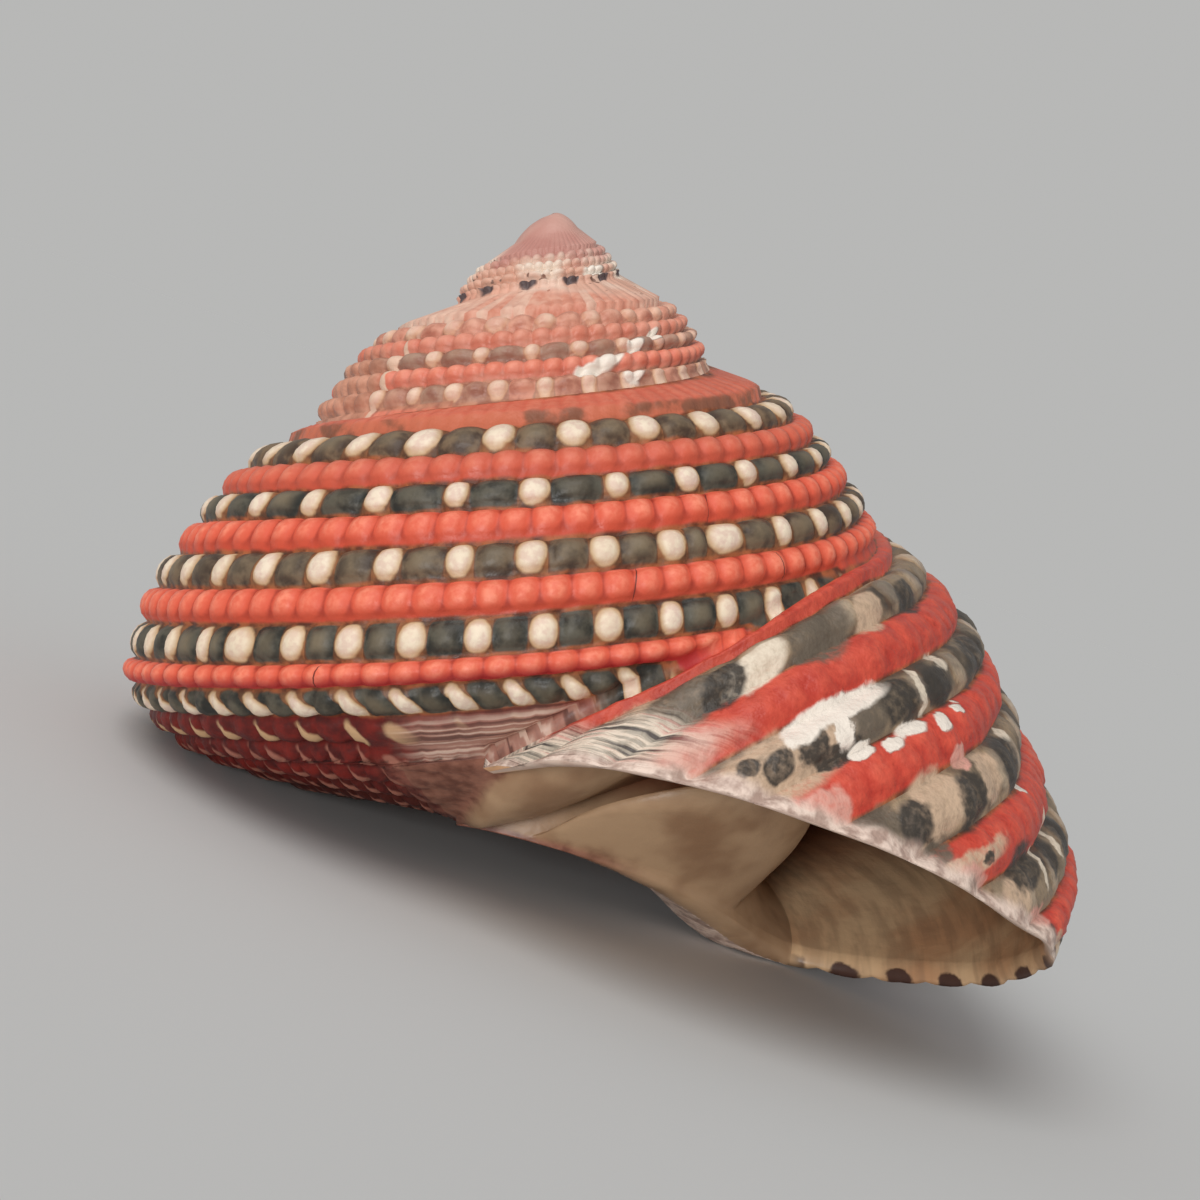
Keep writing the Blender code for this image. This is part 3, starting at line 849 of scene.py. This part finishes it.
bead_edge = wobble(tree, rounded(tree, in_white, plus(tree, across, 0.16), 2.3), ragged, 0.35)
bead_edge = times(tree, bead_edge, minus(tree, 1.0, times(tree, is_row(tree, number, 0), 0.3)))
coral = mottled(tree, grain, 0.3, 0.7, (234, 112, 84), (250, 144, 114))
coral = blend(tree, times(tree, each, 0.4), coral, paint(224, 88, 64))
# Painted shade on the red beads: lighter in a middle set a little up the cord, darker towards each rim, in
# the gaps and on the lower side.
coral = blend(tree, step_up(tree, bead_edge, 0.3, 0.9), coral, paint(222, 92, 66))
coral = blend(tree, step_up(tree, bead_edge, 0.84, 1.12), coral, paint(176, 62, 44))
coral = blend(tree, times(tree, step_up(tree, across, 0.35, 0.85), 0.75), coral, paint(206, 78, 52))
coral = blend(tree, step_up(tree, true_cord, 3.2, 1.6, 0.0, 0.5), coral, paint(188, 98, 76))
dingy = mottled(tree, wobble(tree, wander, ragged, 0.3), 0.45, 0.58, (204, 112, 82), (120, 82, 60))
dinginess = step_up(tree, degrees, -228.0, -212.0, 0.0, 0.85)
dinginess = times(tree, dinginess, step_up(tree, true_cord, 0.20, 0.38, 0.1, 1.0))
coral = blend(tree, times(tree, is_row(tree, number, 0), dinginess), coral, dingy)
crimson = blend(tree, times(tree, step_up(tree, cord, 7.85, 8.4), 0.85), coral, paint(176, 38, 44))
scarlet = mottled(tree, ragged, 0.3, 0.7, (182, 48, 38), (216, 82, 62))
crimson = blend(tree, times(tree, late, 0.8), crimson, scarlet)
colour = blend(tree, sum_of(tree, "GREATER_THAN", share, 0.95), pied, crimson)

# The grooves between cords: the shell's own ochre, painted darker as shade in the grooves.
ochre = mottled(tree, ragged, 0.35, 0.65, (96, 50, 30), (172, 98, 58))
groove = step_up(tree, sum_of(tree, "ABSOLUTE", across), 0.82, 0.99)
colour = blend(tree, groove, colour, ochre)

# The base is as dark a red as wine, with pale spots along its rows. It turns brown towards the umbilicus.
wine = mottled(tree, ragged, 0.3, 0.7, (78, 14, 10), (124, 28, 18))
wine = blend(tree, step_up(tree, true_cord, 11.5, 14.5), wine, paint(74, 30, 22))
spot_edge = wobble(tree, rounded(tree, in_white, across, 2.2), ragged, 0.5)
spot = blend(tree, is_row(tree, number, 10), paint(172, 110, 92), paint(206, 166, 124))
base = blend(tree, times(tree, pale, step_up(tree, spot_edge, 0.86, 0.5)), wine, spot)
colour = blend(tree, step_up(tree, cord, 9.46, 9.56), colour, base)

# Wear on the spire: the beads of the early whorls are rubbed down, first to a bleached pink, then to the
# smooth dusty pink of the tip. One row of dark flecks is left just below it.
SCRATCHES = 3600.0
FLECK_PITCH = 30.5
FLECK_TURN = 650.0
FLECK_LENGTHS = 4.6
FLECK_CORD = 3.85
FLECKS_FADE = ((-470.0, -520.0), (-850.0, -780.0))
faded = mottled(tree, ragged, 0.3, 0.7, (208, 138, 114), (232, 182, 158))
colour = blend(tree, step_up(tree, degrees, -110.0, -210.0, 0.0, 0.42), colour, faded)
cream_beads = times(tree, is_row(tree, number, 0), step_up(tree, bead_edge, 0.95, 0.65))
cream_beads = times(tree, times(tree, cream_beads, early), step_up(tree, each, 0.35, 0.45))
colour = blend(tree, cream_beads, colour, paint(232, 208, 188))
worn = wobble(tree, wobble(tree, below_tip, wander, 1.3), ragged, 0.4)
colour = blend(tree, step_up(tree, worn, 3.3, 1.9, 0.0, 0.75), colour, faded)
turned = sum_of(tree, "FRACT", times(tree, plus(tree, degrees, FLECK_TURN), 1.0 / FLECK_PITCH))
turned = minus(tree, times(tree, turned, FLECK_LENGTHS), 1.0)
fleck = rounded(tree, turned, times(tree, minus(tree, true_cord, FLECK_CORD), 3.4), 2.4)
fleck = step_up(tree, wobble(tree, fleck, ragged, 0.9), 1.15, 0.75)
for fades in FLECKS_FADE:
    fleck = times(tree, fleck, step_up(tree, degrees, *fades))
bleached = mottled(tree, wander, 0.42, 0.58, (216, 168, 146), (234, 214, 196))
scratch = step_up(tree, speckle(tree, SCRATCHES, 1.0), 0.66, 0.71)
bleached = blend(tree, scratch, bleached, paint(132, 98, 84))
colour = blend(tree, step_up(tree, worn, 2.0, 1.5), colour, bleached)
colour = blend(tree, fleck, colour, paint(88, 72, 72))
rosy = mottled(tree, wander, 0.3, 0.7, (190, 132, 120), (208, 162, 148))
colour = blend(tree, step_up(tree, worn, 1.25, 0.85), colour, rosy)

# Marks of the shell's life: a healed scar on the spire, crust, chalk on the last whorl, blotched pied rows
# and hairline cracks. Each patch has its middle and half sizes in degrees of growth and in cords, and where
# it leans, the degrees that it moves on for each cord.
there = wobble(tree, wobble(tree, degrees, ragged, 2.4), wander, 3.0)
level = wobble(tree, wobble(tree, true_cord, ragged, 0.26), wander, 0.25)
blotched = times(tree, late, sum_of(tree, "GREATER_THAN", 0.95, share))
ashen = mottled(tree, wander, 0.42, 0.58, (76, 66, 56), (158, 136, 110))
ashen = blend(tree, step_up(tree, ragged, 0.55, 0.75, 0.0, 0.6), ashen, paint(54, 44, 38))
colour = blend(tree, times(tree, times(tree, blotched, step_up(tree, cord, 8.6, 8.0)), 0.8), colour, ashen)
PATCHES = {
    "cream": (paint(204, 174, 146), (
        (401.0, 1.25, 3.4, 0.42, 3.0), (438.0, 1.00, 4.2, 0.50), (424.0, 3.15, 9.0, 0.62),
        (396.2, 4.95, 2.2, 0.42), (406.5, 4.90, 3.2, 0.50), (399.0, 7.00, 2.0, 0.40),
        (394.0, 8.30, 2.2, 0.26), (408.0, 6.00, 9.0, 0.22), (413.0, 5.45, 3.4, 0.22))),
    "grey": (paint(104, 92, 78), (
        (411.5, 1.15, 5.2, 0.58), (432.0, 1.20, 4.6, 0.50), (441.5, 0.90, 2.6, 0.24),
        (414.6, 4.90, 2.8, 0.42), (408.5, 5.60, 2.2, 0.20), (410.8, 3.10, 2.4, 0.36))),
    "bleached": (paint(230, 214, 192), (
        (422.0, 1.30, 4.2, 0.34, 3.0), (393.4, 2.70, 1.6, 0.22), (400.8, 3.00, 0.8, 0.44, 1.2),
        (391.6, 6.80, 0.7, 0.40, 1.0), (384.5, 6.60, 0.6, 0.40, 1.0), (385.0, 4.70, 1.2, 0.16))),
    "char": (paint(58, 52, 46), (
        (389.0, 1.35, 3.8, 0.32), (426.6, 1.30, 3.0, 0.36, 2.0), (381.5, 3.00, 5.0, 0.44),
        (396.8, 3.10, 2.9, 0.42), (405.2, 3.00, 3.4, 0.44), (419.0, 3.02, 2.0, 0.34),
        (415.8, 3.40, 3.0, 0.22), (423.6, 3.10, 1.7, 0.28), (426.8, 2.85, 1.4, 0.18),
        (389.0, 5.00, 3.8, 0.44), (401.2, 5.10, 2.6, 0.42), (410.2, 4.98, 2.2, 0.36),
        (395.2, 6.60, 2.8, 0.40), (387.6, 6.80, 1.6, 0.36), (380.0, 6.80, 2.6, 0.40),
        (395.0, 7.90, 2.0, 0.20), (402.0, 6.05, 0.8, 0.12))),
    "rose": (paint(220, 160, 144), (
        (420.5, 4.30, 3.2, 0.44), (405.6, 6.40, 2.4, 0.42), (436.0, 2.20, 6.0, 0.40),
        (396.5, 7.55, 3.0, 0.25), (399.4, 4.48, 1.3, 0.20))),
    "chalk": (paint(240, 228, 214), (
        (413.6, 2.62, 7.2, 0.24), (414.8, 3.00, 1.1, 0.40), (420.0, 2.72, 2.4, 0.24),
        (413.0, 3.55, 1.7, 0.15), (408.6, 3.68, 1.5, 0.15), (404.8, 3.62, 2.3, 0.17),
        (399.6, 3.80, 1.3, 0.18), (395.0, 3.68, 1.3, 0.13), (387.6, 5.58, 0.6, 0.13),
        (-289.0, 4.00, 4.4, 0.50, 6.0), (-282.0, 4.50, 4.0, 0.30), (-300.0, 3.20, 3.0, 0.40),
        (-296.0, 4.90, 3.4, 0.30), (-312.0, 2.60, 3.0, 0.34), (-665.0, 3.30, 10.0, 0.50))),
    "crack": (paint(112, 44, 34), (
        (76.6, 5.98, 0.10, 0.44, 1.0), (52.2, 6.00, 0.10, 0.44, -1.0), (62.5, 4.02, 0.10, 0.40, 1.4),
        (148.0, 4.00, 0.10, 0.42, 0.8), (33.0, 2.00, 0.12, 0.40, 1.2), (230.0, 6.00, 0.12, 0.42, 1.0),
        (292.0, 4.00, 0.12, 0.42, -1.0), (118.5, 8.02, 0.10, 0.42, 0.6))),
}
SCAR = (-201.0, 5.2, 17.0, 2.9)
SCAR_EDGE = (-219.5, 4.0, 1.3, 2.6)
chalk = None
for name, (tint, places) in PATCHES.items():
    for place_on_whorl in places:
        exact = name == "crack"
        mask = patch(tree, degrees if exact else there, true_cord if exact else level, *place_on_whorl)
        if name not in ("crack", "chalk"):
            mask = times(tree, mask, step_up(tree, grain, 0.25, 0.6, 0.62, 0.96))
        colour = blend(tree, mask, colour, tint)
        if name == "chalk":
            chalk = mask if chalk is None else sum_of(tree, "MAXIMUM", chalk, mask)
scar = patch(tree, there, level, *SCAR)
rubbed = mottled(tree, ragged, 0.3, 0.7, (176, 118, 94), (214, 156, 130))
colour = blend(tree, scar, colour, rubbed)
colour = blend(tree, patch(tree, there, level, *SCAR_EDGE), colour, paint(226, 190, 166))

# The last growth of the lip is a bleached edge, layered like thin slates where it runs out on the whorl
# before. Below it a smear of glaze lies on that whorl, with a reddish film beside the callus.
STAIN = ((96, 40, 32), (160, 104, 86))
streak = streaks(tree, times(tree, to_edge, 0.8), times(tree, true_cord, 0.7), 1.3)
slate = mottled(tree, streak, 0.36, 0.46, (88, 80, 76), (176, 164, 148))
slate = blend(tree, step_up(tree, streak, 0.47, 0.54), slate, paint(230, 212, 192))
slate = blend(tree, step_up(tree, streak, 0.56, 0.66), slate, paint(222, 174, 160))
run_out = times(tree, step_up(tree, wobble(tree, true_cord, wander, 1.2), 2.6, 1.5),
                step_up(tree, wobble(tree, to_edge, wander, 6.0), 13.0, 7.0))
colour = blend(tree, run_out, colour, slate)
edge = step_up(tree, wobble(tree, wobble(tree, to_edge, wander, 5.0), ragged, 2.5), 3.8, 1.4)
edge_tint = mottled(tree, ragged, 0.35, 0.6, (178, 150, 136), (236, 212, 196))
colour = blend(tree, times(tree, edge, step_up(tree, degrees, 330.0, 350.0)), colour, edge_tint)
glaze = streaks(tree, times(tree, degrees, 0.03), times(tree, true_cord, 5.0), 1.4, 1.0)
glaze = wobble(tree, glaze, ragged, 0.22)
smear = mottled(tree, glaze, 0.34, 0.52, (116, 78, 68), (176, 128, 112))
smear = blend(tree, step_up(tree, glaze, 0.52, 0.66), smear, paint(216, 184, 166))
smear = blend(tree, step_up(tree, true_cord, 11.2, 12.6), smear, paint(112, 56, 46))
smeared = times(tree, step_up(tree, there, 112.0, 104.0), step_up(tree, there, 56.0, 62.0))
smeared = times(tree, smeared, step_up(tree, wobble(tree, true_cord, wander, 0.8), 9.3, 9.9))
colour = blend(tree, smeared, colour, smear)
film = times(tree, step_up(tree, there, 70.0, 98.0, 0.0, 0.75), step_up(tree, there, 118.0, 111.0))
film = times(tree, film, step_up(tree, true_cord, 10.6, 11.4))
colour = blend(tree, film, colour, mottled(tree, ragged, 0.3, 0.7, *STAIN))

GRAIN_DEPTH = 0.05 * MM
bumps = plus(tree, times(tree, ragged, 0.5), times(tree, grain, 0.25))
bumps = times(tree, bumps, plus(tree, 1.0, times(tree, late, 1.6)))
bumps = plus(tree, bumps, times(tree, chalk, 0.7))
bumps = plus(tree, bumps, times(tree, times(tree, run_out, streak), 2.5))
bump = wire(tree, "ShaderNodeBump", {"Height": bumps, "Strength": 1.0, "Distance": GRAIN_DEPTH})
join(tree, principled, {
    "Base Color": colour, "Roughness": step_up(tree, ragged, 0.2, 0.8, 0.38, 0.56), "IOR": 1.5,
    "Specular IOR Level": 0.4, "Normal": bump.outputs[0]})

# The throat is porcelain smooth: cream on the tooth and the callus, with painted shade that turns it brown
# and then near black where it winds away, and a dark spot at the end of each cord along the base of the
# mouth.
CLOUDS = 420.0
RIB_DEPTH = 0.02 * MM
inner_finish, tree, principled = new_finish("smooth throat")
depth = trait(tree, "depth")
_, row = on_beads_map(tree)
cloud = speckle(tree, CLOUDS)
ragged = speckle(tree, RAGGED)
cream = mottled(tree, cloud, 0.38, 0.62, (156, 120, 90), (192, 158, 124))
umber = mottled(tree, cloud, 0.35, 0.65, (206, 158, 118), (226, 190, 148))
rib = streaks(tree, times(tree, depth, 0.03), times(tree, row, 1.2), 2.2)
umber = blend(tree, step_up(tree, rib, 0.4, 0.6, 0.0, 0.4), umber, paint(146, 114, 90))
tint = blend(tree, step_up(tree, row, float(MARGIN_CORD), FOLD_CORD + 0.2), umber, cream)
# Painted shade: the throat darkens to red-brown and then near black the deeper it winds in.
tint = blend(tree, step_up(tree, depth, 26.0, 64.0), tint, paint(136, 62, 34))
tint = blend(tree, step_up(tree, depth, 50.0, 110.0), tint, paint(60, 26, 14))
off_cord = minus(tree, sum_of(tree, "FRACT", plus(tree, row, 0.5)), 0.5)
cord_end = rounded(tree, times(tree, off_cord, 3.6), times(tree, depth, 1.3), 2.0)
cord_end = wobble(tree, cord_end, ragged, 1.2)
on_base = times(tree, step_up(tree, row, 8.4, 9.2), step_up(tree, row, 15.2, 14.6))
tint = blend(tree, times(tree, on_base, step_up(tree, cord_end, 1.1, 0.75)), tint, paint(82, 58, 50))
rim = times(tree, step_up(tree, wobble(tree, depth, ragged, 1.2), 1.4, 0.5), step_up(tree, row, 9.0, 8.4))
tint = blend(tree, rim, tint, blend(tree, ragged, paint(186, 150, 134), paint(236, 214, 196)))
on_callus = step_up(tree, row, FOLD_CORD + 0.45, FOLD_CORD + 0.75)
near_edge = wobble(tree, wobble(tree, depth, ragged, 2.4), cloud, 5.0)
stain = times(tree, on_callus, step_up(tree, near_edge, 4.0, 0.8))
tint = blend(tree, times(tree, stain, 0.85), tint, mottled(tree, ragged, 0.3, 0.7, *STAIN))
bumps = plus(tree, rib, ragged)
bump = wire(tree, "ShaderNodeBump", {"Height": bumps, "Strength": 1.0, "Distance": RIB_DEPTH})
join(tree, principled, {
    "Base Color": tint, "Roughness": 0.40, "Specular IOR Level": 0.4, "Normal": bump.outputs[0]})

beading_tree = bpy.data.node_groups.new("beaded cords", "GeometryNodeTree")
beading(beading_tree)
carving = shell.modifiers.new("beads", "NODES")
carving.node_group = beading_tree
SIZES = {
    "Cord Height": 0.40 * MM, "Bead Height": 0.26 * MM, "Lump Height": 0.10 * MM, "Lumps a Metre": 900.0,
    "Suture Depth": 0.20 * MM,
    "Outside": outer_finish, "Inside": inner_finish,
}
for item in beading_tree.interface.items_tree:
    if item.in_out == "INPUT" and item.name in SIZES:
        carving[item.identifier] = SIZES[item.name]
carved = bpy.data.meshes.new_from_object(shell.evaluated_get(bpy.context.evaluated_depsgraph_get()))
shell.modifiers.remove(carving)
shell.data = carved
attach(shell, "root")
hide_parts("shell")


# The set is a wide pale floor, lit so evenly that it meets the backdrop without a line. One soft light
# comes from above on the left, and a lower one from the viewer's side reaches into the mouth.
FLOOR_RADIUS = 3.0
FLOOR_SHADE = 0.66
WARMTH = 0.985
SKY = 0.38
KEY = 1.10
KEY_FROM = Vector((-0.34, -0.50, 0.86))
KEY_SPREAD = 45.0
FILL = 1.36
FILL_FROM = Vector((-0.25, -1.0, 0.14))
FILL_SPREAD = 14.0
floor_mesh = bpy.data.meshes.new("floor")
work = bmesh.new()
bmesh.ops.create_circle(work, cap_ends=True, segments=96, radius=FLOOR_RADIUS)
work.to_mesh(floor_mesh)
work.free()
floor = bpy.data.objects.new("floor", floor_mesh)
bpy.context.scene.collection.objects.link(floor)
floor_finish, tree, principled = new_finish("pale floor")
join(tree, principled, {
    "Base Color": (FLOOR_SHADE, FLOOR_SHADE, FLOOR_SHADE * WARMTH, 1.0), "Roughness": 1.0,
    "Specular IOR Level": 0.0})
floor_mesh.materials.append(floor_finish)


def lamp(name, from_side, strength, spread):
    """A soft distant light, so that the whole floor gets the same amount."""
    light = bpy.data.lights.new(name, "SUN")
    light.angle = math.radians(spread)
    light.energy = strength
    lamp_object = bpy.data.objects.new(name, light)
    lamp_object.rotation_euler = (-from_side).to_track_quat("-Z", "Y").to_euler()
    bpy.context.scene.collection.objects.link(lamp_object)


lamp("key", KEY_FROM, KEY, KEY_SPREAD)
lamp("fill", FILL_FROM, FILL, FILL_SPREAD)
level_light = KEY * KEY_FROM.normalized().z + FILL * FILL_FROM.normalized().z
seen = FLOOR_SHADE * (SKY + level_light / math.pi)
world = bpy.data.worlds.new("studio")
world.use_nodes = True
tree = world.node_tree
lit_by = tree.nodes["Background"]
join(tree, lit_by, {"Color": (1.0, 1.0, 1.0, 1.0), "Strength": SKY})
backdrop = wire(tree, "ShaderNodeBackground", {"Color": (1.0, 1.0, WARMTH, 1.0), "Strength": seen})
looking = wire(tree, "ShaderNodeLightPath").outputs["Is Camera Ray"]
sky_mix = wire(tree, "ShaderNodeMixShader", {0: looking, 1: lit_by.outputs[0], 2: backdrop.outputs[0]})
join(tree, tree.nodes["World Output"], {"Surface": sky_mix.outputs[0]})
bpy.context.scene.world = world
bpy.context.scene.view_settings.view_transform = "Standard"

CAMERA_AT = Vector((1.193, -46.28, -5.36))
CAMERA_RISE = math.radians(5.82)
CAMERA_ROLL = math.radians(1.19)
right = Vector((math.cos(CAMERA_ROLL), math.sin(CAMERA_RISE) * math.sin(CAMERA_ROLL),
                math.cos(CAMERA_RISE) * math.sin(CAMERA_ROLL)))
down = Vector((math.sin(CAMERA_ROLL), -math.sin(CAMERA_RISE) * math.cos(CAMERA_ROLL),
               -math.cos(CAMERA_RISE) * math.cos(CAMERA_ROLL)))
right = STANCE @ right
up = STANCE @ -down
back = right.cross(up)
camera_data = bpy.data.cameras.new("camera")
camera_data.lens = 60.0
camera_data.sensor_width = 36.0
camera_data.clip_start = 0.002
camera_data.clip_end = 20.0
camera = bpy.data.objects.new("camera", camera_data)
camera.matrix_world = Matrix.Translation((STANCE @ CAMERA_AT + POLE) * MM) @ Matrix(
    (right, up, back)).transposed().to_4x4()
bpy.context.scene.collection.objects.link(camera)
bpy.context.scene.camera = camera
